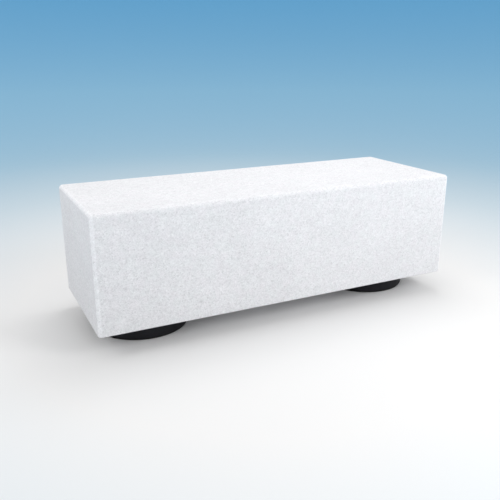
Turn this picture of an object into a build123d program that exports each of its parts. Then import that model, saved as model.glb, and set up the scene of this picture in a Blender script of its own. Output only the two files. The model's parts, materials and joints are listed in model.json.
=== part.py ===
from build123d import *
import math
import os

# Backless bench: a solid cast-stone block, bolted down onto two round steel feet.
# Millimetres. +Z is up, +X runs along the bench, and the front faces -Y.
# The origin is at the centre of the footprint, on the ground.

# The block
BLOCK_LENGTH = 1400.0
BLOCK_DEPTH = 500.0
BLOCK_HEIGHT = 400.0
EDGE_RADIUS = 15.0
ARRIS = 2.0

# The feet: welded drums, each centred under the block's depth
FOOT_SPACING = 980.0
FOOT_DIAMETER = 340.0
SKIRT_WALL = 5.0
WELL_DIAMETER = 50.0
HUB_WALL = 5.0
RIB_COUNT = 4
RIB_THICKNESS = 8.0
BASE_RING_WIDTH = 40.0
PAD_INSET = 4.0
GASKET_INSET = 8.0
WELD_GAP = 0.25

# Thicknesses of a foot's layers, from the ground up
PAD_THICKNESS = 8.0
BASE_RING_THICKNESS = 8.0
RIB_HEIGHT = 50.0
TOP_PLATE_THICKNESS = 10.0
GASKET_THICKNESS = 4.0

# Bolts, M16 x 50, with flat washers. Threads are plain cylinders.
BOLT_COUNT = 4
BOLT_CIRCLE = 200.0
FIRST_BOLT_ANGLE = 45.0
BOLT_DIAMETER = 16.0
BOLT_LENGTH = 50.0
BOLT_HOLE = 18.0
HEAD_FLATS = 24.0
HEAD_HEIGHT = 10.0
HEAD_CHAMFER = 1.6
TIP_CHAMFER = 1.5
THREAD_GAP = 0.1
WASHER_DIAMETER = 30.0
WASHER_HOLE = 17.0
WASHER_THICKNESS = 3.0

# Threaded sockets cast into the underside, each locked by a cross pin
SOCKET_DIAMETER = 22.0
SOCKET_LENGTH = 72.0
SOCKET_THREAD_DEPTH = 50.0
PIN_DIAMETER = 10.0
PIN_LENGTH = 120.0
PIN_HEIGHT = 60.0
PIN_GAP = 0.15

# Reinforcement
COVER = 40.0
STIRRUP_DIAMETER = 8.0
STIRRUP_BEND = 16.0
STIRRUP_SPACING = 150.0
STIRRUP_TO_ANCHOR = 45.0
END_STIRRUP_INSET = 10.0
BOTTOM_BAR_DIAMETER = 12.0
TOP_BAR_DIAMETER = 10.0
SIDE_BAR_DIAMETER = 10.0
INNER_BAR_OFFSET = 130.0
BAR_GAP = 0.25

# Levels and places that follow from them
BASE_LEVEL = PAD_THICKNESS
RIB_LEVEL = BASE_LEVEL + BASE_RING_THICKNESS
PLATE_LEVEL = RIB_LEVEL + RIB_HEIGHT
GASKET_LEVEL = PLATE_LEVEL + TOP_PLATE_THICKNESS
BLOCK_LEVEL = GASKET_LEVEL + GASKET_THICKNESS
SEAT_LEVEL = BLOCK_LEVEL + BLOCK_HEIGHT
WASHER_LEVEL = PLATE_LEVEL - WASHER_THICKNESS
FOOT_OFFSET = FOOT_SPACING / 2
FOOT_RADIUS = FOOT_DIAMETER / 2
SKIRT_BORE = FOOT_RADIUS - SKIRT_WALL
WELL_RADIUS = WELL_DIAMETER / 2
HUB_RADIUS = WELL_RADIUS + HUB_WALL
PLATE_RADIUS = SKIRT_BORE - WELD_GAP
BASE_RING_BORE = SKIRT_BORE - BASE_RING_WIDTH
SIDES = {"left": -FOOT_OFFSET, "right": FOOT_OFFSET}

# The stirrups' centreline, and the straight bars' length
STIRRUP_HALF_WIDTH = BLOCK_DEPTH / 2 - COVER - STIRRUP_DIAMETER / 2
STIRRUP_LOW = BLOCK_LEVEL + COVER + STIRRUP_DIAMETER / 2
STIRRUP_HIGH = SEAT_LEVEL - COVER - STIRRUP_DIAMETER / 2
BAR_LENGTH = BLOCK_LENGTH - 2 * COVER


def disc(radius, level, thickness, x=0.0, y=0.0):
    """A flat round plate whose lower face is at the given level."""
    return Pos(x, y, level + thickness / 2) * Cylinder(radius, thickness)


def ring(outer, inner, level, thickness, x):
    """A flat ring, or a short tube, whose lower face is at the given level."""
    return disc(outer, level, thickness, x) - disc(inner, level, thickness, x)


def bolt_places(x):
    """The centres of one foot's bolts."""
    places = []
    for index in range(BOLT_COUNT):
        angle = math.radians(FIRST_BOLT_ANGLE + 360.0 * index / BOLT_COUNT)
        reach = BOLT_CIRCLE / 2
        places.append((x + reach * math.cos(angle), reach * math.sin(angle)))
    return places


def round_edge(shape, level, radius, size):
    """Breaks the circular edges of a given radius that lie at a given level."""
    edges = [
        edge
        for edge in shape.edges().filter_by(GeomType.CIRCLE)
        if abs(edge.radius - radius) < WELD_GAP / 2
        and abs(edge.center().Z - level) < WELD_GAP / 2
    ]
    return fillet(edges, size)


def make_foot_pad(x):
    """The rubber ring that stands on the ground."""
    outer = FOOT_RADIUS - PAD_INSET
    inner = BASE_RING_BORE + PAD_INSET
    return round_edge(ring(outer, inner, 0.0, PAD_THICKNESS, x), 0.0, outer, 1.0)


def make_foot_base_ring(x):
    """The flat ring that closes the drum's lower edge."""
    return ring(PLATE_RADIUS, BASE_RING_BORE, BASE_LEVEL, BASE_RING_THICKNESS, x)


def make_foot_skirt(x):
    """The rolled outer ring, with a small radius on its two outer edges."""
    height = GASKET_LEVEL - BASE_LEVEL
    skirt = ring(FOOT_RADIUS, SKIRT_BORE, BASE_LEVEL, height, x)
    skirt = round_edge(skirt, BASE_LEVEL, FOOT_RADIUS, 1.5)
    return round_edge(skirt, GASKET_LEVEL, FOOT_RADIUS, 1.5)


def make_foot_hub(x):
    """The central tube round the well that a ground dowel passes through."""
    return ring(HUB_RADIUS, WELL_RADIUS, RIB_LEVEL, RIB_HEIGHT, x)


def make_foot_ribs(x):
    """The upright ribs between the hub and the skirt."""
    half = RIB_THICKNESS / 2
    start = HUB_RADIUS + WELD_GAP
    end = math.sqrt(PLATE_RADIUS**2 - half**2)
    rib = Box(end - start, RIB_THICKNESS, RIB_HEIGHT)
    rib = Pos((start + end) / 2, 0, RIB_LEVEL + RIB_HEIGHT / 2) * rib
    turn = 360.0 / RIB_COUNT
    return [Pos(x, 0, 0) * Rot(0, 0, index * turn) * rib for index in range(RIB_COUNT)]


def make_foot_top_plate(x):
    """The round plate that the block is bolted to."""
    plate = ring(PLATE_RADIUS, WELL_RADIUS, PLATE_LEVEL, TOP_PLATE_THICKNESS, x)
    for bolt_x, bolt_y in bolt_places(x):
        plate -= disc(BOLT_HOLE / 2, PLATE_LEVEL, TOP_PLATE_THICKNESS, bolt_x, bolt_y)
    return plate


def make_foot_gasket(x):
    """The rubber sheet between the top plate and the block."""
    outer = FOOT_RADIUS - GASKET_INSET
    gasket = ring(outer, WELL_RADIUS, GASKET_LEVEL, GASKET_THICKNESS, x)
    for bolt_x, bolt_y in bolt_places(x):
        gasket -= disc(BOLT_HOLE / 2, GASKET_LEVEL, GASKET_THICKNESS, bolt_x, bolt_y)
    return gasket


def make_foot_washers(x):
    """The flat washers under the bolt heads."""
    washers = []
    for bolt_x, bolt_y in bolt_places(x):
        washer = disc(WASHER_DIAMETER / 2, WASHER_LEVEL, WASHER_THICKNESS, bolt_x, bolt_y)
        washer -= disc(WASHER_HOLE / 2, WASHER_LEVEL, WASHER_THICKNESS, bolt_x, bolt_y)
        washers.append(washer)
    return washers


def make_bolt():
    """One hexagon bolt, head down, with the head's upper face at level 0."""
    head = extrude(RegularPolygon(HEAD_FLATS / 2, 6, major_radius=False), -HEAD_HEIGHT)
    corner = HEAD_FLATS / math.sqrt(3)
    turned = Pos(0, 0, -HEAD_HEIGHT / 2) * Cylinder(corner, HEAD_HEIGHT)
    turned = chamfer(turned.edges().sort_by(Axis.Z)[0], HEAD_CHAMFER / 2, HEAD_CHAMFER)
    shank = disc(BOLT_DIAMETER / 2 - THREAD_GAP, 0.0, BOLT_LENGTH)
    shank = chamfer(shank.edges().sort_by(Axis.Z)[-1], TIP_CHAMFER)
    return (head & turned) + shank


def make_foot_bolts(x):
    """The bolts that hold the foot to the block."""
    bolt = make_bolt()
    return [Pos(bolt_x, bolt_y, WASHER_LEVEL) * bolt for bolt_x, bolt_y in bolt_places(x)]


def socket_body(x, y):
    """The outside of a cast-in socket, flush with the underside of the block."""
    return disc(SOCKET_DIAMETER / 2, BLOCK_LEVEL, SOCKET_LENGTH, x, y)


def cross_pin(x, y, gap=0.0):
    """The steel pin through the top of a socket, along the bench."""
    pin = Cylinder(PIN_DIAMETER / 2 + gap, PIN_LENGTH, rotation=(0, 90, 0))
    return Pos(x, y, BLOCK_LEVEL + PIN_HEIGHT) * pin


def make_socket(x, y):
    """A threaded socket, open at the underside of the block."""
    thread = disc(BOLT_DIAMETER / 2, BLOCK_LEVEL, SOCKET_THREAD_DEPTH, x, y)
    return socket_body(x, y) - thread - cross_pin(x, y, PIN_GAP)


def socket_places(x):
    """All the sockets over one foot: one for each bolt, and one for the anchor."""
    return bolt_places(x) + [(x, 0.0)]


def make_foot_sockets(x):
    return [make_socket(*place) for place in bolt_places(x)]


def make_anchor_socket(x):
    return make_socket(x, 0.0)


def make_socket_pins(x):
    return [cross_pin(*place) for place in socket_places(x)]


def long_bar(diameter, y, level):
    """A straight bar that runs the length of the block, inside the end cover."""
    return Pos(0, y, level) * Cylinder(diameter / 2, BAR_LENGTH, rotation=(0, 90, 0))


def corner_place(diameter):
    """How far a bar that lies in a stirrup's bend is from the bend's two outer legs."""
    inside = STIRRUP_BEND - diameter / 2 - BAR_GAP
    return STIRRUP_DIAMETER / 2 + STIRRUP_BEND - inside / math.sqrt(2)


def leg_place(diameter):
    """How far a bar that lies along a stirrup's straight leg is from that leg."""
    return STIRRUP_DIAMETER / 2 + diameter / 2 + BAR_GAP


def make_bottom_bars():
    """Two bars in the lower bends and two inside them, clear of the sockets."""
    corner = corner_place(BOTTOM_BAR_DIAMETER)
    bars = []
    for side in (-1, 1):
        y = side * (STIRRUP_HALF_WIDTH - corner)
        bars.append(long_bar(BOTTOM_BAR_DIAMETER, y, STIRRUP_LOW + corner))
        level = STIRRUP_LOW + leg_place(BOTTOM_BAR_DIAMETER)
        bars.append(long_bar(BOTTOM_BAR_DIAMETER, side * INNER_BAR_OFFSET, level))
    return bars


def make_top_bars():
    """Two bars in the upper bends and one between them."""
    corner = corner_place(TOP_BAR_DIAMETER)
    bars = [long_bar(TOP_BAR_DIAMETER, 0.0, STIRRUP_HIGH - leg_place(TOP_BAR_DIAMETER))]
    for side in (-1, 1):
        y = side * (STIRRUP_HALF_WIDTH - corner)
        bars.append(long_bar(TOP_BAR_DIAMETER, y, STIRRUP_HIGH - corner))
    return bars


def make_side_bars():
    """One bar at mid height along each long side."""
    y = STIRRUP_HALF_WIDTH - leg_place(SIDE_BAR_DIAMETER)
    level = (STIRRUP_LOW + STIRRUP_HIGH) / 2
    return [long_bar(SIDE_BAR_DIAMETER, side * y, level) for side in (-1, 1)]


def stirrup_stations():
    """Where the stirrups stand: evenly in mid span, astride each anchor, and at the ends."""
    half = [STIRRUP_SPACING, 2 * STIRRUP_SPACING]
    half += [FOOT_OFFSET - STIRRUP_TO_ANCHOR, FOOT_OFFSET + STIRRUP_TO_ANCHOR]
    half.append(BAR_LENGTH / 2 - END_STIRRUP_INSET)
    return [-x for x in reversed(half)] + [0.0] + half


def make_stirrups():
    """Closed links of round bar with bent corners."""
    width = 2 * STIRRUP_HALF_WIDTH
    height = STIRRUP_HIGH - STIRRUP_LOW
    bend = STIRRUP_BEND + STIRRUP_DIAMETER / 2
    middle = (STIRRUP_LOW + STIRRUP_HIGH) / 2
    path = RectangleRounded(width, height, bend).wire()
    start = Plane(origin=path @ 0, z_dir=path % 0)
    link = sweep(start * Circle(STIRRUP_DIAMETER / 2), path=path)
    upright = Plane.YZ * link
    return [Pos(x, 0, middle) * upright for x in stirrup_stations()]


def make_seat_block():
    """The cast-stone block, with a cavity for each piece that is cast into it."""
    block = Pos(0, 0, BLOCK_LEVEL + BLOCK_HEIGHT / 2) * Box(BLOCK_LENGTH, BLOCK_DEPTH, BLOCK_HEIGHT)
    upright = block.edges().filter_by(Axis.Z)
    top = block.edges().group_by(Axis.Z)[-1]
    block = fillet(upright + top, EDGE_RADIUS)
    block = chamfer(block.edges().group_by(Axis.Z)[0], ARRIS)
    cast_in = make_bottom_bars() + make_top_bars() + make_side_bars() + make_stirrups()
    for x in SIDES.values():
        cast_in += [socket_body(*place) for place in socket_places(x)]
        cast_in += make_socket_pins(x)
    return block - cast_in


def node_shape(made):
    """One shape for a node: a single solid, or a group of separate solids."""
    return Compound(children=list(made)) if isinstance(made, list) else made


def make_nodes():
    """Every sub-part, by its node name."""
    nodes = {
        "seat_block": make_seat_block(),
        "bottom_bars": make_bottom_bars(),
        "top_bars": make_top_bars(),
        "side_bars": make_side_bars(),
        "stirrups": make_stirrups(),
    }
    for side, x in SIDES.items():
        nodes[f"foot_sockets_{side}"] = make_foot_sockets(x)
        nodes[f"anchor_socket_{side}"] = make_anchor_socket(x)
        nodes[f"socket_pins_{side}"] = make_socket_pins(x)
        nodes[f"foot_gasket_{side}"] = make_foot_gasket(x)
        nodes[f"foot_top_plate_{side}"] = make_foot_top_plate(x)
        nodes[f"foot_skirt_{side}"] = make_foot_skirt(x)
        nodes[f"foot_hub_{side}"] = make_foot_hub(x)
        nodes[f"foot_ribs_{side}"] = make_foot_ribs(x)
        nodes[f"foot_base_ring_{side}"] = make_foot_base_ring(x)
        nodes[f"foot_pad_{side}"] = make_foot_pad(x)
        nodes[f"foot_bolts_{side}"] = make_foot_bolts(x)
        nodes[f"foot_washers_{side}"] = make_foot_washers(x)
    return nodes


os.makedirs("parts", exist_ok=True)
for name, made in make_nodes().items():
    export_step(node_shape(made), f"parts/{name}.step")
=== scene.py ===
import json
import math

import bmesh
import bpy
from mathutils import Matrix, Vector, noise


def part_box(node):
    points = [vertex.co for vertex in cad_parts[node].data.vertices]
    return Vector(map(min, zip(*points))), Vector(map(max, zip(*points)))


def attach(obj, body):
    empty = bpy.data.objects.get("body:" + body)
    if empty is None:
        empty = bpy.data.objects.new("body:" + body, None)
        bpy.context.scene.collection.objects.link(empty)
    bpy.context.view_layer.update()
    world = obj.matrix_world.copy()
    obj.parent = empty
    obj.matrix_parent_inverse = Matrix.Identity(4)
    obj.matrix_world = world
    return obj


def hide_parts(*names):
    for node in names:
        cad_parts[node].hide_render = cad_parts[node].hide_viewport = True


# A backless bench: a cast-stone block, with its reinforcement inside, on two round black feet.

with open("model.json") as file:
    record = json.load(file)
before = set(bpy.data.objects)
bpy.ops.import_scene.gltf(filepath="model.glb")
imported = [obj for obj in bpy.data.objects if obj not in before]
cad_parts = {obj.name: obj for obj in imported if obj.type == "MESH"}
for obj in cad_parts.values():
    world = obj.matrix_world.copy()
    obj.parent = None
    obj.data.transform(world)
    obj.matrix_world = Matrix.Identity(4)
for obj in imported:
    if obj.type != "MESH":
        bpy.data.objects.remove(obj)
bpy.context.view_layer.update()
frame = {"nodes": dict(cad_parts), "record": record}

BODY = "root"
SIDES = ("left", "right")
SLOTS = {part["node"]: part["material_slot"] for part in frame["record"]["subparts"]}
BLOCK_LOW, BLOCK_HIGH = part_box("seat_block")
BLOCK_HEIGHT = BLOCK_HIGH.z - BLOCK_LOW.z


# ---------------------------------------------------------------- camera

VIEW_AZIMUTH = math.radians(-26.52)
VIEW_ELEVATION = math.radians(17.98)
VIEW_DISTANCE = 5.9525 * BLOCK_HEIGHT
VIEW_TARGET = Vector((-0.1129 * BLOCK_HEIGHT, 0.0, BLOCK_LOW.z + 0.3148 * BLOCK_HEIGHT))
SENSOR_WIDTH = 36.0
FOCAL_LENGTH = 44.23


def make_camera():
    """An upright camera to the left of the front, looking slightly down."""
    data = bpy.data.cameras.new("camera")
    data.sensor_width = SENSOR_WIDTH
    data.lens = FOCAL_LENGTH
    data.dof.use_dof = False
    camera = bpy.data.objects.new("camera", data)
    back = Vector((
        math.sin(VIEW_AZIMUTH) * math.cos(VIEW_ELEVATION),
        -math.cos(VIEW_AZIMUTH) * math.cos(VIEW_ELEVATION),
        math.sin(VIEW_ELEVATION),
    ))
    camera.location = VIEW_TARGET + VIEW_DISTANCE * back
    camera.rotation_mode = "QUATERNION"
    camera.rotation_quaternion = (-back).to_track_quat("-Z", "Y")
    bpy.context.scene.collection.objects.link(camera)
    bpy.context.scene.camera = camera


# ---------------------------------------------------------------- material helpers

# Almost all of a noise node's values are between these two.
NOISE_LOW = 0.3
NOISE_HIGH = 0.7

# The colour sockets of a Mix node, whose names its other kinds of socket have too.
MIX_FIRST = 6
MIX_SECOND = 7
MIX_RESULT = 2


class Nodes:
    """A short way to write a material's node tree."""

    def __init__(self, name):
        self.material = bpy.data.materials.new(name)
        self.material.use_nodes = True
        self.tree = self.material.node_tree
        self.shader = self.tree.nodes["Principled BSDF"]
        coordinates = self.add("ShaderNodeTexCoord").outputs
        self.place = coordinates["Object"]
        self.normal = coordinates["Normal"]

    def add(self, kind, **values):
        """A new node. Each value is for the socket or the setting of that name."""
        node = self.tree.nodes.new(kind)
        for key, value in values.items():
            if key in node.inputs:
                self.set(node.inputs[key], value)
            else:
                setattr(node, key, value)
        return node

    def set(self, socket, value):
        """Gives a socket a constant, or links it to another node's output."""
        if isinstance(value, bpy.types.NodeSocket):
            self.tree.links.new(value, socket)
        else:
            socket.default_value = value

    def noise(self, scale, detail=2.0, roughness=0.5):
        """A soft random value. scale is in waves to the metre."""
        node = self.add("ShaderNodeTexNoise", Scale=scale, Detail=detail, Roughness=roughness)
        self.set(node.inputs["Vector"], self.place)
        return node.outputs["Fac"]

    def cells(self, scale, vector):
        """Uneven cells, each with its own random value from 0 to 1. scale is in cells to the metre."""
        node = self.add("ShaderNodeTexVoronoi", Scale=scale)
        self.set(node.inputs["Vector"], vector)
        split = self.add("ShaderNodeSeparateColor")
        self.set(split.inputs["Color"], node.outputs["Color"])
        return split.outputs["Red"]

    def math(self, operation, first, second):
        """The result of one operation on two numbers."""
        node = self.add("ShaderNodeMath", operation=operation)
        self.set(node.inputs[0], first)
        self.set(node.inputs[1], second)
        return node.outputs[0]

    def remap(self, value, low, high, new_low, new_high):
        """value taken from low..high to new_low..new_high, and held at both ends."""
        node = self.add("ShaderNodeMapRange")
        for index, given in enumerate((value, low, high, new_low, new_high)):
            self.set(node.inputs[index], given)
        return node.outputs["Result"]

    def spread(self, value, low, high):
        """A noise value, spread out over low to high."""
        return self.remap(value, NOISE_LOW, NOISE_HIGH, low, high)

    def ramp(self, value, *stops):
        """value turned into colours; a stop is (place, (red, green, blue))."""
        node = self.add("ShaderNodeValToRGB")
        points = node.color_ramp.elements
        while len(points) < len(stops):
            points.new(0.5)
        for point, (place, colour) in zip(points, stops):
            point.position = place
            point.color = (*colour, 1.0)
        self.set(node.inputs["Fac"], value)
        return node.outputs["Color"]

    def product(self, first, second):
        """Two colours, multiplied."""
        node = self.add("ShaderNodeMix", data_type="RGBA", blend_type="MULTIPLY")
        self.set(node.inputs["Factor"], 1.0)
        self.set(node.inputs[MIX_FIRST], first)
        self.set(node.inputs[MIX_SECOND], second)
        return node.outputs[MIX_RESULT]

    def warped(self, scale, size):
        """The place, moved by up to about half of size, so that cells have uneven edges."""
        random = self.add("ShaderNodeTexNoise", Scale=scale, Detail=2.0)
        self.set(random.inputs["Vector"], self.place)
        shift = self.add("ShaderNodeVectorMath", operation="SUBTRACT")
        self.set(shift.inputs[0], random.outputs["Color"])
        self.set(shift.inputs[1], grey(0.5))
        scaled = self.add("ShaderNodeVectorMath", operation="SCALE", Scale=size)
        self.set(scaled.inputs[0], shift.outputs[0])
        moved = self.add("ShaderNodeVectorMath", operation="ADD")
        self.set(moved.inputs[0], self.place)
        self.set(moved.inputs[1], scaled.outputs[0])
        return moved.outputs[0]

    def axis(self, vector, letter):
        """The part of a vector along X, Y or Z."""
        node = self.add("ShaderNodeSeparateXYZ")
        self.set(node.inputs["Vector"], vector)
        return node.outputs[letter]

    def height(self, value, size):
        """The height above the ground, moved up and down by a random value times size."""
        shift = self.math("MULTIPLY", self.math("SUBTRACT", value, 0.5), size)
        return self.math("ADD", self.axis(self.place, "Z"), shift)

    def end_slope(self):
        """0 on the bench's flat faces, and 0.25 halfway round the edges of its two ends."""
        along = self.axis(self.normal, "X")
        squared = self.math("MULTIPLY", along, along)
        return self.math("MULTIPLY", squared, self.math("SUBTRACT", 1.0, squared))

    def bump(self, height, distance, strength):
        """Roughens the surface. A height of 1 stands for distance metres."""
        node = self.add("ShaderNodeBump", Strength=strength, Distance=distance)
        self.set(node.inputs["Height"], height)
        self.set(self.shader.inputs["Normal"], node.outputs["Normal"])

    def finish(self, colour, roughness, metallic=0.0, specular=0.5):
        """The material, with its colour and gloss."""
        self.set(self.shader.inputs["Base Color"], colour)
        self.set(self.shader.inputs["Roughness"], roughness)
        self.shader.inputs["Metallic"].default_value = metallic
        self.shader.inputs["Specular IOR Level"].default_value = specular
        return self.material


def grey(value):
    """A colour with no tint."""
    return (value, value, value)


# ---------------------------------------------------------------- materials

# Cells or waves to the metre.
GRAIN_SCALE = 255.0
SAND_SCALE = 620.0
PATCH_SCALE = 95.0
CLOUD_SCALE = 5.0
TINT_SCALE = 38.0
GRIT_SCALE = 900.0

# A painted highlight makes the rounded end edges paler: the slopes where that starts and where it is
# full, and how pale.
HIGHLIGHT_START = 0.01
HIGHLIGHT_FULL = 0.12
EDGE_HIGHLIGHT = 1.16

# The block is darker towards the ground, unevenly, up to a share of its height.
GROUND_TONE = 0.935
GROUND_REACH = 0.9
GROUND_UNEVEN = 0.12


def cast_stone():
    """Pale sandblasted cast stone: fine grains of slightly different greys.

    The edges round its ends are paler with a painted highlight, and it is a little darker towards the
    ground."""
    n = Nodes("cast_stone")
    warped = n.warped(scale=600.0, size=0.003)
    grain = n.cells(GRAIN_SCALE, warped)
    sand = n.cells(SAND_SCALE, warped)
    patch = n.cells(PATCH_SCALE, n.warped(scale=160.0, size=0.010))
    cloud = n.noise(CLOUD_SCALE, detail=3.0)
    tint = n.noise(TINT_SCALE)
    # edge masks the painted highlight on the rounded edges round the two ends.
    edge = n.remap(n.end_slope(), HIGHLIGHT_START, HIGHLIGHT_FULL, 0.0, 1.0)
    level = n.remap(n.height(cloud, GROUND_UNEVEN), BLOCK_LOW.z, BLOCK_HIGH.z, 0.0, 1.0)
    colour = n.ramp(
        grain,
        (0.0, (0.682, 0.688, 0.706)),
        (0.12, (0.757, 0.763, 0.783)),
        (0.55, (0.802, 0.809, 0.829)),
        (0.90, (0.834, 0.841, 0.861)),
        (1.0, (0.880, 0.887, 0.906)),
    )
    tones = (
        n.ramp(sand, (0.0, grey(0.90)), (0.5, grey(0.99)), (1.0, grey(1.067))),
        n.ramp(patch, (0.0, grey(0.970)), (1.0, grey(1.030))),
        n.ramp(tint, (0.35, (1.0, 0.988, 1.0)), (0.65, (0.99, 0.998, 1.0))),
        n.ramp(cloud, (0.35, grey(0.985)), (0.65, grey(1.015))),
        # The painted highlight on the rounded end edges.
        n.ramp(edge, (0.0, grey(1.0)), (1.0, grey(EDGE_HIGHLIGHT))),
        n.ramp(level, (0.0, grey(GROUND_TONE)), (GROUND_REACH, grey(1.0))),
    )
    for tone in tones:
        colour = n.product(colour, tone)
    grains = n.math("ADD", n.math("MULTIPLY", grain, 0.6), n.math("MULTIPLY", sand, 0.4))
    grit = n.math("ADD", grains, n.noise(GRIT_SCALE))
    n.bump(grit, distance=0.0004, strength=0.6)
    roughness = n.remap(grain, 0.0, 1.0, 0.9, 0.62)
    return n.finish(colour, roughness=roughness, specular=0.35)


def black_coat():
    """Matt black powder coat with a fine orange peel."""
    n = Nodes("black_coat")
    peel = n.noise(scale=700.0)
    patch = n.noise(scale=22.0, detail=3.0)
    colour = n.ramp(
        patch,
        (NOISE_LOW, (0.0028, 0.0030, 0.0058)),
        (NOISE_HIGH, (0.0050, 0.0053, 0.0090)),
    )
    n.bump(peel, distance=0.00012, strength=0.6)
    return n.finish(colour, roughness=n.spread(patch, 0.55, 0.68), specular=0.3)


def black_rubber():
    """Matt black rubber with a fine moulded grain."""
    n = Nodes("black_rubber")
    grain = n.noise(scale=1100.0)
    bloom = n.noise(scale=30.0, detail=3.0)
    colour = n.ramp(
        bloom,
        (NOISE_LOW, (0.0055, 0.0055, 0.0060)),
        (NOISE_HIGH, (0.0110, 0.0110, 0.0115)),
    )
    n.bump(grain, distance=0.00015, strength=0.7)
    return n.finish(colour, roughness=n.spread(bloom, 0.75, 0.88), specular=0.25)


def zinc_steel():
    """Bright zinc plate over turned steel."""
    n = Nodes("zinc_steel")
    patch = n.noise(scale=160.0, detail=3.0)
    colour = n.ramp(patch, (NOISE_LOW, (0.50, 0.51, 0.53)), (NOISE_HIGH, (0.66, 0.67, 0.69)))
    n.bump(n.noise(scale=1500.0), distance=0.00005, strength=0.5)
    return n.finish(colour, roughness=n.spread(patch, 0.28, 0.42), metallic=1.0)


def reinforcement():
    """Rolled bar: dark mill scale with patches of light rust."""
    n = Nodes("reinforcement")
    patch = n.noise(scale=45.0, detail=4.0, roughness=0.65)
    colour = n.ramp(
        patch,
        (NOISE_LOW, (0.055, 0.050, 0.048)),
        (0.52, (0.110, 0.075, 0.055)),
        (NOISE_HIGH, (0.240, 0.105, 0.045)),
    )
    n.bump(n.noise(scale=800.0, detail=3.0), distance=0.0002, strength=0.6)
    return n.finish(colour, roughness=n.spread(patch, 0.55, 0.9))


# How far from the middle of the floor the paint reaches its last colour, in metres.
PAINT_REACH = 5.9


def studio_paint():
    """Plain pale paint: white round the bench, and turning blue towards the top of the wall."""
    n = Nodes("studio_paint")
    distance = n.add("ShaderNodeVectorMath", operation="LENGTH")
    n.set(distance.inputs[0], n.place)
    reach = n.remap(distance.outputs["Value"], 0.0, PAINT_REACH, 0.0, 1.0)
    colour = n.ramp(
        reach,
        (0.16, (0.83, 0.83, 0.83)),
        (0.36, (0.62, 0.74, 0.82)),
        (0.58, (0.45, 0.67, 0.83)),
        (0.84, (0.30, 0.58, 0.81)),
        (1.0, (0.13, 0.43, 0.75)),
    )
    return n.finish(colour, roughness=n.spread(n.noise(scale=40.0), 0.80, 0.86), specular=0.2)


# ---------------------------------------------------------------- mesh helpers

SHARP_ANGLE = math.radians(38)
MERGE_DISTANCE = 1e-6
RING_SEGMENTS = 192
CORNER_STEPS = 4

# How far from a corner its outline has one more point, in radii of the corner.
CORNER_HOLD = 1.6

# A shape is a list of vertices and a list of faces. Several shapes can be joined into one mesh.
# A box is the lowest and the highest corner of a solid.


def joined(shapes):
    """One shape made of several."""
    vertices, faces = [], []
    for more_vertices, more_faces in shapes:
        start = len(vertices)
        vertices += more_vertices
        faces += [[start + corner for corner in face] for face in more_faces]
    return vertices, faces


def mesh_from(name, shape):
    """A mesh of a closed shape."""
    mesh = bpy.data.meshes.new(name)
    mesh.from_pydata(shape[0], [], shape[1])
    turn_outwards(mesh)
    return mesh


def turn_outwards(mesh):
    """Makes every face of a closed mesh look outwards."""
    bm = bmesh.new()
    bm.from_mesh(mesh)
    bmesh.ops.recalc_face_normals(bm, faces=bm.faces)
    bm.to_mesh(mesh)
    bm.free()


def new_object(name, mesh, material):
    """Links a mesh as an object with one material, smooth apart from its corners."""
    mesh.materials.clear()
    mesh.materials.append(material)
    mesh.shade_smooth()
    mesh.set_sharp_from_angle(angle=SHARP_ANGLE)
    made = bpy.data.objects.new(name, mesh)
    bpy.context.scene.collection.objects.link(made)
    return made


def outline_of(corners):
    """A closed (radius, level) outline with square corners, each rounded by its own arc.

    A point close to each end of an arc keeps the shading of the flat beside it even."""
    outline = []
    for index, (place, size) in enumerate(corners):
        here = Vector(place)
        back = (Vector(corners[index - 1][0]) - here).normalized()
        ahead = (Vector(corners[(index + 1) % len(corners)][0]) - here).normalized()
        centre = here + (back + ahead) * size
        outline.append(here + back * size * CORNER_HOLD)
        for step in range(CORNER_STEPS + 1):
            turn = math.pi / 2 * step / CORNER_STEPS
            outline.append(centre - size * (ahead * math.cos(turn) + back * math.sin(turn)))
        outline.append(here + ahead * size * CORNER_HOLD)
    return outline


def turned(outline, x, y=0.0, segments=RING_SEGMENTS):
    """A ring: a closed outline turned about the upright axis through (x, y)."""
    vertices, faces = [], []
    count = len(outline)
    for step in range(segments):
        turn = 2 * math.pi * step / segments
        for radius, level in outline:
            vertices.append((x + radius * math.cos(turn), y + radius * math.sin(turn), level))
    for step in range(segments):
        here, after = step * count, (step + 1) % segments * count
        for k in range(count):
            m = (k + 1) % count
            faces.append([here + k, here + m, after + m, after + k])
    return vertices, faces


def collar(inner, outer, low, high, round_inner, round_outer):
    """The outline of a plain ring with rounded edges."""
    return outline_of([
        ((inner, low), round_inner),
        ((outer, low), round_outer),
        ((outer, high), round_outer),
        ((inner, high), round_inner),
    ])


def rod(radius, low, high, x, y, segments):
    """A plain upright rod."""
    vertices = []
    for level in (low, high):
        for step in range(segments):
            turn = 2 * math.pi * step / segments
            vertices.append((x + radius * math.cos(turn), y + radius * math.sin(turn), level))
    faces = [list(range(segments)), list(range(segments, 2 * segments))]
    for step in range(segments):
        after = (step + 1) % segments
        faces.append([step, after, segments + after, segments + step])
    return vertices, faces


def spaced(path, spacing, closed):
    """The points of a path, set out again at an even distance from each other."""
    points = path + path[:1] if closed else path
    lengths = [(b - a).length for a, b in zip(points, points[1:])]
    count = max(round(sum(lengths) / spacing), 1)
    step = sum(lengths) / count
    out, index, done = [], 0, 0.0
    for number in range(count if closed else count + 1):
        reach = number * step
        while index < len(lengths) - 1 and reach > done + lengths[index]:
            done += lengths[index]
            index += 1
        share = min((reach - done) / lengths[index], 1.0)
        out.append(points[index].lerp(points[index + 1], share))
    return out


def evenly(radius):
    """The radius of a plain round bar, as tube takes it."""
    return lambda distance, turn: radius


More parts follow.
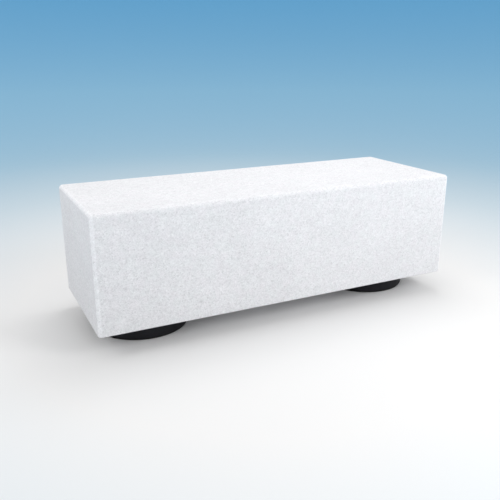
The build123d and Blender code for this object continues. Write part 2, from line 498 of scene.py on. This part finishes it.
def tube(path, radius_at, up, segments, closed=False):
    """A bar along a path. radius_at(distance, turn) is its radius, and up is never along it."""
    vertices, faces = [], []
    last = len(path) - 1
    distance = 0.0
    for index, point in enumerate(path):
        before = path[index - 1] if closed or index else point
        after = path[(index + 1) % len(path)] if closed or index < last else point
        along = (after - before).normalized()
        across = along.cross(up).normalized()
        over = across.cross(along)
        for step in range(segments):
            turn = 2 * math.pi * step / segments
            radius = radius_at(distance, turn)
            vertices.append(point + radius * (across * math.cos(turn) + over * math.sin(turn)))
        if index < last:
            distance += (path[index + 1] - point).length
    for index in range(len(path) if closed else last):
        here, ahead = index * segments, (index + 1) % len(path) * segments
        for step in range(segments):
            beside = (step + 1) % segments
            faces.append([here + step, here + beside, ahead + beside, ahead + step])
    if not closed:
        faces.append(list(range(segments)))
        faces.append(list(range(last * segments, (last + 1) * segments)))
    return vertices, faces


def solid_boxes(name):
    """The box of each separate solid in a CAD node."""
    bm = bmesh.new()
    bm.from_mesh(frame["nodes"][name].data)
    bmesh.ops.remove_doubles(bm, verts=bm.verts, dist=MERGE_DISTANCE)
    boxes, seen = [], set()
    for start in bm.verts:
        if start in seen:
            continue
        seen.add(start)
        group, waiting = [], [start]
        while waiting:
            vertex = waiting.pop()
            group.append(vertex.co.copy())
            beside = {edge.other_vert(vertex) for edge in vertex.link_edges} - seen
            seen |= beside
            waiting += beside
        axes = list(zip(*group))
        boxes.append((Vector([min(axis) for axis in axes]), Vector([max(axis) for axis in axes])))
    bm.free()
    return sorted(boxes, key=lambda box: tuple(box[0]))


def middle_of(name):
    """Where the upright axis of a round CAD node is, along the bench."""
    low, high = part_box(name)
    return (low.x + high.x) / 2


def radius_of(name):
    """The outer radius of a round CAD node."""
    low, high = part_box(name)
    return (high.x - low.x) / 2


def cut_away(mesh, shape):
    """The mesh with a closed shape cut out of it."""
    target = bpy.data.objects.new("cut_target", mesh)
    cutter = bpy.data.objects.new("cutter", mesh_from("cutter", shape))
    for made in (target, cutter):
        bpy.context.scene.collection.objects.link(made)
    modifier = target.modifiers.new("cut", "BOOLEAN")
    modifier.operation = "DIFFERENCE"
    modifier.solver = "MANIFOLD"
    modifier.object = cutter
    graph = bpy.context.evaluated_depsgraph_get()
    left = bpy.data.meshes.new_from_object(target.evaluated_get(graph))
    for made in (target, cutter):
        used = made.data
        bpy.data.objects.remove(made)
        bpy.data.meshes.remove(used)
    bm = bmesh.new()
    bm.from_mesh(left)
    bmesh.ops.remove_doubles(bm, verts=bm.verts, dist=MERGE_DISTANCE)
    bmesh.ops.dissolve_degenerate(bm, edges=bm.edges, dist=MERGE_DISTANCE)
    bm.to_mesh(left)
    bm.free()
    return left


# ---------------------------------------------------------------- the cast-stone block

EDGE_RADIUS = 0.015
ARRIS = 0.002
CELL = 0.0056
BEND_STEPS = 6
CAVITY_SEGMENTS = 20

# The blasted surface: how deep its grain and its long waves are in metres, and how many to the metre.
RELIEF = 0.00022
RELIEF_SCALE = 85.0
WAVE = 0.00035
WAVE_SCALE = 5.0


def stations(low, high, radius_low, radius_high):
    """Grid lines along one side, closer together where the edges are rounded."""
    start, end = low + radius_low, high - radius_high
    count = round((end - start) / CELL)
    lines = [start + (end - start) * index / count for index in range(count + 1)]
    bend = [math.tan(math.pi / 4 * step / BEND_STEPS) for step in range(1, BEND_STEPS + 1)]
    if radius_high:
        lines += [end + radius_high * part for part in bend]
    if radius_low:
        lines = [start - radius_low * part for part in reversed(bend)] + lines
    return lines


def rounded(point):
    """Where a point on the sharp box goes when the upright and the top edges are rounded."""
    low, high = BLOCK_LOW, BLOCK_HIGH
    centre = Vector((
        min(max(point.x, low.x + EDGE_RADIUS), high.x - EDGE_RADIUS),
        min(max(point.y, low.y + EDGE_RADIUS), high.y - EDGE_RADIUS),
        min(point.z, high.z - EDGE_RADIUS),
    ))
    out = point - centre
    if out.length < MERGE_DISTANCE:
        return point
    reach = max(abs(part) for part in out)
    place = centre + out.normalized() * reach
    if point.z == low.z:
        place -= out.normalized() * ARRIS
    return place


def smooth_random(place, scale):
    """A smooth random value from 0 to 1."""
    value = 0.5 + 0.5 * noise.noise(place * scale)
    return min(max(value, 0.0), 1.0)


def block_relief(place):
    """How far the blasted surface is worn back at a place, in metres."""
    grain = RELIEF * smooth_random(place, RELIEF_SCALE)
    return grain + WAVE * smooth_random(place, WAVE_SCALE)


def block_shell():
    """The block's outside: a fine grid on the five blasted sides, and one face underneath."""
    low, high = BLOCK_LOW, BLOCK_HIGH
    xs = stations(low.x, high.x, EDGE_RADIUS, EDGE_RADIUS)
    ys = stations(low.y, high.y, EDGE_RADIUS, EDGE_RADIUS)
    zs = [low.z] + stations(low.z + ARRIS, high.z, 0.0, EDGE_RADIUS)
    nx, ny, nz = len(xs) - 1, len(ys) - 1, len(zs) - 1
    index_of, vertices, faces = {}, [], []

    def vertex(i, j, k):
        """The number of the vertex at a place in the grid, made when it is first asked for."""
        key = (i, j, k)
        if key not in index_of:
            index_of[key] = len(vertices)
            vertices.append(rounded(Vector((xs[i], ys[j], zs[k]))))
        return index_of[key]

    def sheet(count_a, count_b, corner):
        """The faces of one side. corner(a, b) is the vertex at a place on it."""
        for a in range(count_a):
            for b in range(count_b):
                faces.append([corner(a, b), corner(a + 1, b), corner(a + 1, b + 1), corner(a, b + 1)])

    sheet(nx, ny, lambda a, b: vertex(a, b, nz))
    for end in (0, ny):
        sheet(nx, nz, lambda a, b: vertex(a, end, b))
    for end in (0, nx):
        sheet(ny, nz, lambda a, b: vertex(end, a, b))
    rim = [(i, 0) for i in range(nx)] + [(nx, j) for j in range(ny)]
    rim += [(i, ny) for i in range(nx, 0, -1)] + [(0, j) for j in range(ny, 0, -1)]
    faces.append([vertex(i, j, 0) for i, j in rim])
    return vertices, faces


def make_seat_block(name):
    """The block, blasted outside, with a cavity for each piece that is cast into it."""
    mesh = mesh_from(name, block_shell())
    normals = [vertex.normal.copy() for vertex in mesh.vertices]
    for vertex, normal in zip(mesh.vertices, normals):
        if vertex.co.z > BLOCK_LOW.z + MERGE_DISTANCE:
            vertex.co -= normal * block_relief(vertex.co)
    sockets, pins, steel = [], [], []
    for side in SIDES:
        for low, high in solid_boxes(f"foot_sockets_{side}") + solid_boxes(f"anchor_socket_{side}"):
            radius = (high.x - low.x) / 2
            middle = (low + high) / 2
            below = low.z - ARRIS
            sockets.append(rod(radius, below, high.z, middle.x, middle.y, 2 * CAVITY_SEGMENTS))
        pins += [plain_bar(box, CAVITY_SEGMENTS) for box in solid_boxes(f"socket_pins_{side}")]
    for bars in ("bottom_bars", "top_bars", "side_bars"):
        steel += [plain_bar(box, CAVITY_SEGMENTS) for box in solid_boxes(bars)]
    for box in solid_boxes("stirrups"):
        steel.append(tube(link_path(box), evenly(link_radius(box)), AXIS_X, CAVITY_SEGMENTS, True))
    for shapes in (sockets, pins, steel):
        mesh = cut_away(mesh, joined(shapes))
    return mesh


# ---------------------------------------------------------------- steel cast into the block

AXIS_X = Vector((1.0, 0.0, 0.0))
AXIS_Z = Vector((0.0, 0.0, 1.0))

# The ribs of a rolled bar: their pitch and height are shares of its diameter, and RIB_RINGS is how
# many rings of vertices each has. The rib along each side is a share of the others' height, and it
# is where the cosine of the turn is past SIDE_RIB_EDGE.
RIB_PITCH = 0.8
RIB_HEIGHT = 0.055
RIB_LEAN = 1.1
RIB_RINGS = 4
SIDE_RIB = 0.8
SIDE_RIB_EDGE = 0.99

BAR_SEGMENTS = 12
LINK_SEGMENTS = 10
LINK_BEND = 0.020
LINK_BEND_STEPS = 8
PIN_CHAMFER = 0.001


def bar_axis(box):
    """The two ends of the centreline of a bar that lies along the bench."""
    low, high = box
    middle = (low + high) / 2
    return Vector((low.x, middle.y, middle.z)), Vector((high.x, middle.y, middle.z))


def bar_radius(box):
    """The radius of a bar that lies along the bench."""
    return (box[1].z - box[0].z) / 2


def plain_bar(box, segments):
    """A plain round bar along the bench."""
    return tube(list(bar_axis(box)), evenly(bar_radius(box)), AXIS_Z, segments)


def link_radius(box):
    """The radius of a stirrup's bar."""
    return (box[1].x - box[0].x) / 2


def link_path(box):
    """The centreline of a stirrup: a rectangle with bent corners, across the bench."""
    low, high = box
    radius = link_radius(box)
    x = (low.x + high.x) / 2
    ys = (low.y + radius, high.y - radius)
    zs = (low.z + radius, high.z - radius)
    path = []
    for y, z, quarter in ((ys[1], zs[1], 0), (ys[0], zs[1], 1), (ys[0], zs[0], 2), (ys[1], zs[0], 3)):
        centre_y = y - math.copysign(LINK_BEND, y)
        centre_z = z - LINK_BEND if z == zs[1] else z + LINK_BEND
        for step in range(LINK_BEND_STEPS + 1):
            turn = math.pi / 2 * (quarter + step / LINK_BEND_STEPS)
            reach_y, reach_z = LINK_BEND * math.cos(turn), LINK_BEND * math.sin(turn)
            path.append(Vector((x, centre_y + reach_y, centre_z + reach_z)))
    return path


def ribbed(radius):
    """The radius of a rolled reinforcing bar: leaning crescent ribs, and a low rib along each side."""
    rib = 2 * radius * RIB_HEIGHT
    pitch = 2 * radius * RIB_PITCH

    def radius_at(distance, turn):
        wave = math.cos(2 * math.pi * distance / pitch + RIB_LEAN * math.cos(turn))
        crescent = max(wave, 0.0) * abs(math.sin(turn))
        side_rib = SIDE_RIB if abs(math.cos(turn)) > SIDE_RIB_EDGE else 0.0
        return radius - rib + rib * max(crescent, side_rib)

    return radius_at


def make_ribbed_bars(name):
    """Straight ribbed bars along the bench."""
    shapes = []
    for box in solid_boxes(name):
        radius = bar_radius(box)
        path = spaced(list(bar_axis(box)), 2 * radius * RIB_PITCH / RIB_RINGS, False)
        shapes.append(tube(path, ribbed(radius), AXIS_Z, BAR_SEGMENTS))
    return mesh_from(name, joined(shapes))


def make_stirrups(name):
    """Closed links of ribbed bar across the bench."""
    shapes = []
    for box in solid_boxes(name):
        radius = link_radius(box)
        path = spaced(link_path(box), 2 * radius * RIB_PITCH / RIB_RINGS, True)
        shapes.append(tube(path, ribbed(radius), AXIS_X, LINK_SEGMENTS, True))
    return mesh_from(name, joined(shapes))


def chamfered(radius, length):
    """The radius of a plain bar of that length with chamfered ends."""

    def radius_at(distance, turn):
        at_end = distance < PIN_CHAMFER / 2 or distance > length - PIN_CHAMFER / 2
        return radius - PIN_CHAMFER if at_end else radius

    return radius_at


def make_pins(name):
    """Short round bars with chamfered ends."""
    shapes = []
    for box in solid_boxes(name):
        start, end = bar_axis(box)
        inset = AXIS_X * PIN_CHAMFER
        path = [start, start + inset, end - inset, end]
        profile = chamfered(bar_radius(box), (end - start).length)
        shapes.append(tube(path, profile, AXIS_Z, 2 * BAR_SEGMENTS))
    return mesh_from(name, joined(shapes))


# ---------------------------------------------------------------- feet

SKIRT_WALL = 0.005
WELL_RADIUS = 0.025
BASE_RING_BORE = 0.125
PAD_BORE = 0.129
BOLT_CIRCLE = 0.200
BOLT_COUNT = 4
FIRST_BOLT_ANGLE = math.radians(45)
BOLT_HOLE = 0.018
HOLE_SEGMENTS = 48
HUB_SEGMENTS = 96

SKIRT_ROUND = 0.0015
PLATE_ROUND = 0.0006
RUBBER_ROUND = 0.0010
INNER_ROUND = 0.0004

GROOVE_COUNT = 4
GROOVE_WIDTH = 0.0030
GROOVE_DEPTH = 0.0018


def make_skirt(name):
    """The rolled ring, with a small radius on its outer edges."""
    low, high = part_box(name)
    outer = radius_of(name)
    outline = collar(outer - SKIRT_WALL, outer, low.z, high.z, INNER_ROUND, SKIRT_ROUND)
    return mesh_from(name, turned(outline, middle_of(name)))


def make_hub(name):
    """The tube in the middle of the drum."""
    low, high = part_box(name)
    outline = collar(WELL_RADIUS, radius_of(name), low.z, high.z, INNER_ROUND, INNER_ROUND)
    return mesh_from(name, turned(outline, middle_of(name), segments=HUB_SEGMENTS))


def make_base_ring(name):
    """The flat ring at the bottom of the drum."""
    low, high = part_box(name)
    outline = collar(BASE_RING_BORE, radius_of(name), low.z, high.z, PLATE_ROUND, INNER_ROUND)
    return mesh_from(name, turned(outline, middle_of(name)))


def make_pad(name):
    """The moulded rubber ring, with round grooves in the face that grips the ground."""
    low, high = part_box(name)
    outer = radius_of(name)
    corners = [((PAD_BORE, low.z), RUBBER_ROUND)]
    pitch = (outer - PAD_BORE) / (GROOVE_COUNT + 1)
    for number in range(1, GROOVE_COUNT + 1):
        start = PAD_BORE + number * pitch - GROOVE_WIDTH / 2
        end = start + GROOVE_WIDTH
        top = low.z + GROOVE_DEPTH
        corners += [((start, low.z), INNER_ROUND), ((start, top), INNER_ROUND)]
        corners += [((end, top), INNER_ROUND), ((end, low.z), INNER_ROUND)]
    corners += [((outer, low.z), RUBBER_ROUND), ((outer, high.z), INNER_ROUND)]
    corners.append(((PAD_BORE, high.z), INNER_ROUND))
    return mesh_from(name, turned(outline_of(corners), middle_of(name)))


def bolt_places(x):
    """The centres of one foot's bolts."""
    turns = [FIRST_BOLT_ANGLE + 2 * math.pi * number / BOLT_COUNT for number in range(BOLT_COUNT)]
    return [(x + BOLT_CIRCLE / 2 * math.cos(t), BOLT_CIRCLE / 2 * math.sin(t)) for t in turns]


def make_bolted_disc(name, round_outer):
    """A round plate or sheet with the well in its middle and a hole for each bolt."""
    low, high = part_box(name)
    outline = collar(WELL_RADIUS, radius_of(name), low.z, high.z, INNER_ROUND, round_outer)
    mesh = mesh_from(name, turned(outline, middle_of(name)))
    thickness = high.z - low.z
    holes = [
        rod(BOLT_HOLE / 2, low.z - thickness, high.z + thickness, x, y, HOLE_SEGMENTS)
        for x, y in bolt_places(middle_of(name))
    ]
    return cut_away(mesh, joined(holes))


def make_top_plate(name):
    """The steel plate at the top of the drum."""
    return make_bolted_disc(name, PLATE_ROUND)


def make_gasket(name):
    """The rubber sheet between the steel and the cast stone."""
    return make_bolted_disc(name, RUBBER_ROUND)


RIB_BEVEL = 0.0008
BEVEL_STEPS = 2


def make_ribs(name):
    """The flat ribs, their edges broken by a small bevel."""
    shapes = []
    for low, high in solid_boxes(name):
        corners = [(x, y, z) for x in (low.x, high.x) for y in (low.y, high.y) for z in (low.z, high.z)]
        sides = [[0, 1, 3, 2], [4, 6, 7, 5], [0, 4, 5, 1], [2, 3, 7, 6], [0, 2, 6, 4], [1, 5, 7, 3]]
        shapes.append((corners, sides))
    mesh = mesh_from(name, joined(shapes))
    bm = bmesh.new()
    bm.from_mesh(mesh)
    bmesh.ops.bevel(
        bm,
        geom=bm.edges[:],
        offset=RIB_BEVEL,
        segments=BEVEL_STEPS,
        profile=0.5,
        affect="EDGES",
    )
    bm.to_mesh(mesh)
    bm.free()
    return mesh


# ---------------------------------------------------------------- welds

BEAD_RADIUS = 0.0030
BEAD_INSET = 0.0008
BEAD_RIPPLE = 0.10
BEAD_PITCH = 0.0042
BEAD_SPACING = 0.0014
BEAD_SEGMENTS = 10
RIB_COUNT = 4


def bead(path, up, closed=False):
    """A fillet weld: a round bead with the ripples that each step of the torch leaves."""

    def radius_at(distance, turn):
        return BEAD_RADIUS * (1 + BEAD_RIPPLE * math.sin(2 * math.pi * distance / BEAD_PITCH))

    return tube(spaced(path, BEAD_SPACING, closed), radius_at, up, BEAD_SEGMENTS, closed)


def circle_path(x, radius, level):
    """A level circle about the upright axis at x."""
    turns = [2 * math.pi * step / RING_SEGMENTS for step in range(RING_SEGMENTS)]
    return [Vector((x + radius * math.cos(t), radius * math.sin(t), level)) for t in turns]


def make_welds(side):
    """Every weld of one drum: round the plate, the ring and the hub, and along the ribs."""
    x = middle_of(f"foot_skirt_{side}")
    skirt_weld = radius_of(f"foot_skirt_{side}") - SKIRT_WALL - BEAD_INSET
    hub_weld = radius_of(f"foot_hub_{side}") + BEAD_INSET
    under_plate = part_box(f"foot_top_plate_{side}")[0].z - BEAD_INSET
    over_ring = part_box(f"foot_base_ring_{side}")[1].z + BEAD_INSET
    rib_low, rib_high = solid_boxes(f"foot_ribs_{side}")[0]
    rib_half = (rib_high.y - rib_low.y) / 2
    shapes = [
        bead(circle_path(x, skirt_weld, under_plate), AXIS_Z, True),
        bead(circle_path(x, hub_weld, under_plate), AXIS_Z, True),
        bead(circle_path(x, skirt_weld, over_ring), AXIS_Z, True),
    ]
    for number in range(RIB_COUNT):
        turn = 2 * math.pi * number / RIB_COUNT
        out = Vector((math.cos(turn), math.sin(turn), 0.0))
        for hand in (-1, 1):
            beside = Vector((x, 0.0, 0.0)) + hand * (rib_half + BEAD_INSET) * AXIS_Z.cross(out)
            near = beside + hub_weld * out
            far = beside + skirt_weld * out
            top = under_plate * AXIS_Z
            foot = over_ring * AXIS_Z
            shapes.append(bead([near + top, far + top], AXIS_Z))
            shapes.append(bead([near + top, near + foot], out))
            shapes.append(bead([far + top, far + foot], out))
    return mesh_from(f"foot_welds_{side}", joined(shapes))


# ---------------------------------------------------------------- bolts and washers

# HEAD_FACE is the flat face of the head, as a share of the width over its flats.
HEAD_HEIGHT = 0.010
HEAD_FLATS = 0.024
HEAD_FACE = 0.95
HEAD_SLOPE = math.tan(math.radians(30))
HEAD_SEGMENTS = 72
THREAD_PITCH = 0.002
THREAD_DEPTH = 0.0010
THREAD_RINGS = 6
THREAD_SEGMENTS = 24
SHANK_RADIUS = 0.0079
TIP_CHAMFER = 0.0015
WASHER_HOLE = 0.017


def hexagon_radius(turn):
    """How far a hexagon's side is from its middle, in the direction of turn."""
    sixth = math.pi / 3
    return HEAD_FLATS / 2 / math.cos(turn % sixth - sixth / 2)


def bolt_head(x, y, outer_level, inner_level):
    """A hexagon head whose outer corners are turned to a cone, which leaves curved edges."""
    face_radius = HEAD_FACE * HEAD_FLATS / 2
    vertices, faces = [(x, y, outer_level), (x, y, inner_level)], []
    for step in range(HEAD_SEGMENTS):
        turn = 2 * math.pi * step / HEAD_SEGMENTS
        side = hexagon_radius(turn)
        rise = (side - face_radius) * HEAD_SLOPE
        for radius, level in (
            (face_radius, outer_level),
            (side, outer_level + rise),
            (side, inner_level),
        ):
            vertices.append((x + radius * math.cos(turn), y + radius * math.sin(turn), level))
    for step in range(HEAD_SEGMENTS):
        here, after = 2 + 3 * step, 2 + 3 * ((step + 1) % HEAD_SEGMENTS)
        faces.append([0, here, after])
        faces += [[here + row, here + row + 1, after + row + 1, after + row] for row in (0, 1)]
        faces.append([1, here + 2, after + 2])
    return vertices, faces


def threaded_shank(x, y, low, high):
    """A shank with a real helical thread that fades out at its chamfered tip."""
    rings = round((high - low) / THREAD_PITCH * THREAD_RINGS)
    step = (high - low) / rings
    path = [Vector((x, y, low + step * number)) for number in range(rings + 1)]
    length = high - low

    def radius_at(distance, turn):
        phase = (distance / THREAD_PITCH - turn / (2 * math.pi)) % 1.0
        thread = SHANK_RADIUS - THREAD_DEPTH * abs(2 * phase - 1)
        tip = SHANK_RADIUS - TIP_CHAMFER + (length - distance)
        return min(thread, tip)

    return tube(path, radius_at, AXIS_X, THREAD_SEGMENTS)


def make_bolts(name):
    """Hexagon bolts with their heads down."""
    shapes = []
    for low, high in solid_boxes(name):
        middle = (low + high) / 2
        seat = low.z + HEAD_HEIGHT
        shapes.append(bolt_head(middle.x, middle.y, low.z, seat))
        shapes.append(threaded_shank(middle.x, middle.y, seat, high.z))
    return mesh_from(name, joined(shapes))


def make_washers(name):
    """Flat washers."""
    shapes = []
    for low, high in solid_boxes(name):
        middle = (low + high) / 2
        outer = (high.x - low.x) / 2
        outline = collar(WASHER_HOLE / 2, outer, low.z, high.z, INNER_ROUND, INNER_ROUND)
        shapes.append(turned(outline, middle.x, middle.y, HOLE_SEGMENTS))
    return mesh_from(name, joined(shapes))


# ---------------------------------------------------------------- all the pieces

MAKERS = {
    "seat_block": make_seat_block,
    "bottom_bars": make_ribbed_bars,
    "top_bars": make_ribbed_bars,
    "side_bars": make_ribbed_bars,
    "stirrups": make_stirrups,
    "socket_pins": make_pins,
    "foot_gasket": make_gasket,
    "foot_top_plate": make_top_plate,
    "foot_skirt": make_skirt,
    "foot_hub": make_hub,
    "foot_ribs": make_ribs,
    "foot_base_ring": make_base_ring,
    "foot_pad": make_pad,
    "foot_bolts": make_bolts,
    "foot_washers": make_washers,
}

FINISHES = {
    "cast_stone": cast_stone,
    "black_steel": black_coat,
    "black_rubber": black_rubber,
    "zinc_steel": zinc_steel,
    "reinforcement": reinforcement,
}


def make_pieces():
    """Shows each CAD node as a detailed piece, or as it is with its own material."""
    finishes = {slot: finish() for slot, finish in FINISHES.items()}
    for name, node in frame["nodes"].items():
        kind = name.removesuffix("_left").removesuffix("_right")
        if kind in MAKERS:
            piece = new_object(f"finished_{name}", MAKERS[kind](name), finishes[SLOTS[name]])
            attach(piece, BODY)
            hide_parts(name)
        else:
            node.data.materials.clear()
            node.data.materials.append(finishes[SLOTS[name]])
    for side in SIDES:
        welds = new_object(f"foot_welds_{side}", make_welds(side), finishes["black_steel"])
        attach(welds, BODY)


# ---------------------------------------------------------------- studio

# FLOOR_CENTRE is the radius of the single face in the middle of the floor.
FLOOR_RADIUS = 3.6
FLOOR_CENTRE = 0.2
COVE_RADIUS = 2.0
COVE_STEPS = 16
WALL_HEIGHT = 3.4
STAGE_SEGMENTS = 96


def revolved_sheet(profile):
    """An open sheet: a (radius, level) line turned about the middle of the stage."""
    vertices, faces = [], []
    for radius, level in profile:
        for step in range(STAGE_SEGMENTS):
            turn = 2 * math.pi * step / STAGE_SEGMENTS
            vertices.append((radius * math.cos(turn), radius * math.sin(turn), level))
    for ring in range(len(profile) - 1):
        here, ahead = ring * STAGE_SEGMENTS, (ring + 1) * STAGE_SEGMENTS
        for step in range(STAGE_SEGMENTS):
            beside = (step + 1) % STAGE_SEGMENTS
            faces.append((here + step, ahead + step, ahead + beside, here + beside))
    return vertices, faces


def stage_sheet(name, shape, material):
    """Links a sheet that isn't part of the bench."""
    mesh = bpy.data.meshes.new(name)
    mesh.from_pydata(shape[0], [], shape[1])
    sheet = new_object(name, mesh, material)
    return sheet


def make_floor(material):
    """A flat round floor."""
    profile = [(FLOOR_CENTRE, 0.0), (FLOOR_RADIUS / 2, 0.0), (FLOOR_RADIUS, 0.0)]
    vertices, faces = revolved_sheet(profile)
    faces.append(tuple(range(STAGE_SEGMENTS)))
    stage_sheet("studio_floor", (vertices, faces), material)


def make_wall(material):
    """A plain wall that curves up from the floor all round.

    Only the camera sees it, so that the light of the sky reaches the bench from every side."""
    profile = []
    for step in range(COVE_STEPS + 1):
        turn = math.pi / 2 * step / COVE_STEPS
        radius = FLOOR_RADIUS + COVE_RADIUS * math.sin(turn)
        profile.append((radius, COVE_RADIUS - COVE_RADIUS * math.cos(turn)))
    profile.append((FLOOR_RADIUS + COVE_RADIUS, WALL_HEIGHT))
    wall = stage_sheet("studio_wall", revolved_sheet(profile), material)
    wall.visible_diffuse = False
    wall.visible_glossy = False
    wall.visible_shadow = False


def area_light(name, aim, place, size, power):
    """A white soft box that looks at aim. size is in metres, and power in watts."""
    data = bpy.data.lights.new(name, "AREA")
    data.shape = "RECTANGLE"
    data.size, data.size_y = size
    data.energy = power
    light = bpy.data.objects.new(name, data)
    light.location = place
    light.rotation_mode = "QUATERNION"
    light.rotation_quaternion = (aim - Vector(place)).to_track_quat("-Z", "Y")
    light.visible_camera = False
    bpy.context.scene.collection.objects.link(light)


WORLD_STRENGTH = 0.75
LIGHTS = {
    "front_right": {"place": (1.0, -2.0, 1.5), "size": (0.8, 0.8), "power": 17.8},
    "end_left": {"place": (-2.4, -0.4, 2.0), "size": (0.9, 0.9), "power": 8.6},
    "over": {"place": (0.5, 0.6, 2.6), "size": (1.6, 1.4), "power": 17.8},
}


def make_lights():
    """Three soft boxes, at the front, by the left end and overhead, and an even white sky."""
    world = bpy.data.worlds.new("studio")
    world.use_nodes = True
    background = world.node_tree.nodes["Background"]
    background.inputs["Color"].default_value = (1.0, 1.0, 1.0, 1.0)
    background.inputs["Strength"].default_value = WORLD_STRENGTH
    bpy.context.scene.world = world
    middle = Vector((0.0, 0.0, BLOCK_LOW.z + BLOCK_HEIGHT / 2))
    for name, light in LIGHTS.items():
        area_light(name, middle, **light)


def make_studio():
    """The floor, the wall and the lights, and a picture with its colours as they are."""
    paint = studio_paint()
    make_floor(paint)
    make_wall(paint)
    make_lights()
    bpy.context.scene.view_settings.view_transform = "Standard"


# ---------------------------------------------------------------- assembly

make_camera()
make_pieces()
make_studio()
